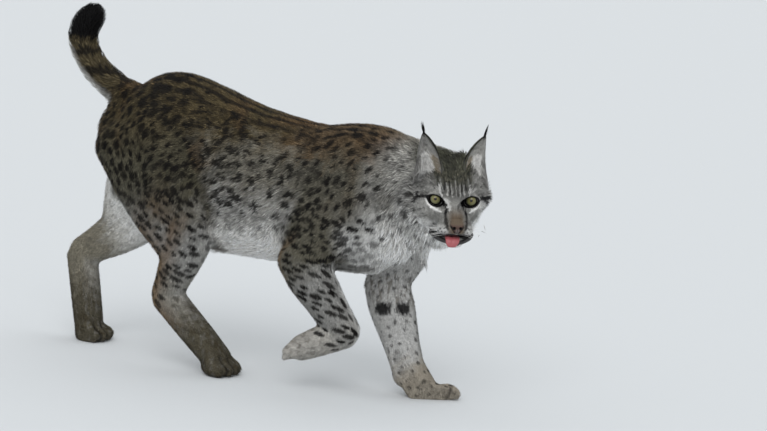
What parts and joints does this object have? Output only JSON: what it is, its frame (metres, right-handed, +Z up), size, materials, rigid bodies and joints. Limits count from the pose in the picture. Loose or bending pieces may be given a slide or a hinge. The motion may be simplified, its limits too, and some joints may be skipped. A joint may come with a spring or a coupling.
{
  "type": "eurasian lynx",
  "caption": "Still life-size model of a walking Eurasian lynx with one forepaw lifted, head turned to its right and short tail raised.",
  "frame": {"origin": "centre of the bounding box, on the floor under the lynx", "axes": "+X forwards along its walk, +Y to its left, +Z up"},
  "size_m": [1.0674, 0.2818, 0.7408],
  "materials": {
    "coat_body": "long soft fur, spotted",
    "coat_legs": "short soft fur, spotted",
    "coat_paws": "short dense fur",
    "coat_head": "short fur with a longer ruff",
    "coat_neck": "long soft fur",
    "coat_tail": "thick fur with a black tip",
    "coat_ears": "very short fur",
    "eyes": "wet gloss",
    "nose": "moist, finely pebbled",
    "tongue": "moist"
  },
  "bodies": {
    "root": {"head": "coat_head", "ear_left": "coat_ears", "ear_right": "coat_ears", "eye_left": "eyes", "eye_right": "eyes", "nose": "nose", "tongue": "tongue", "neck": "coat_neck", "torso": "coat_body", "tail": "coat_tail", "leg_front_left": "coat_legs", "leg_front_right": "coat_legs", "leg_hind_left": "coat_legs", "leg_hind_right": "coat_legs", "paw_front_left": "coat_paws", "paw_front_right": "coat_paws", "paw_hind_left": "coat_paws", "paw_hind_right": "coat_paws"}
  },
  "joints": []
}
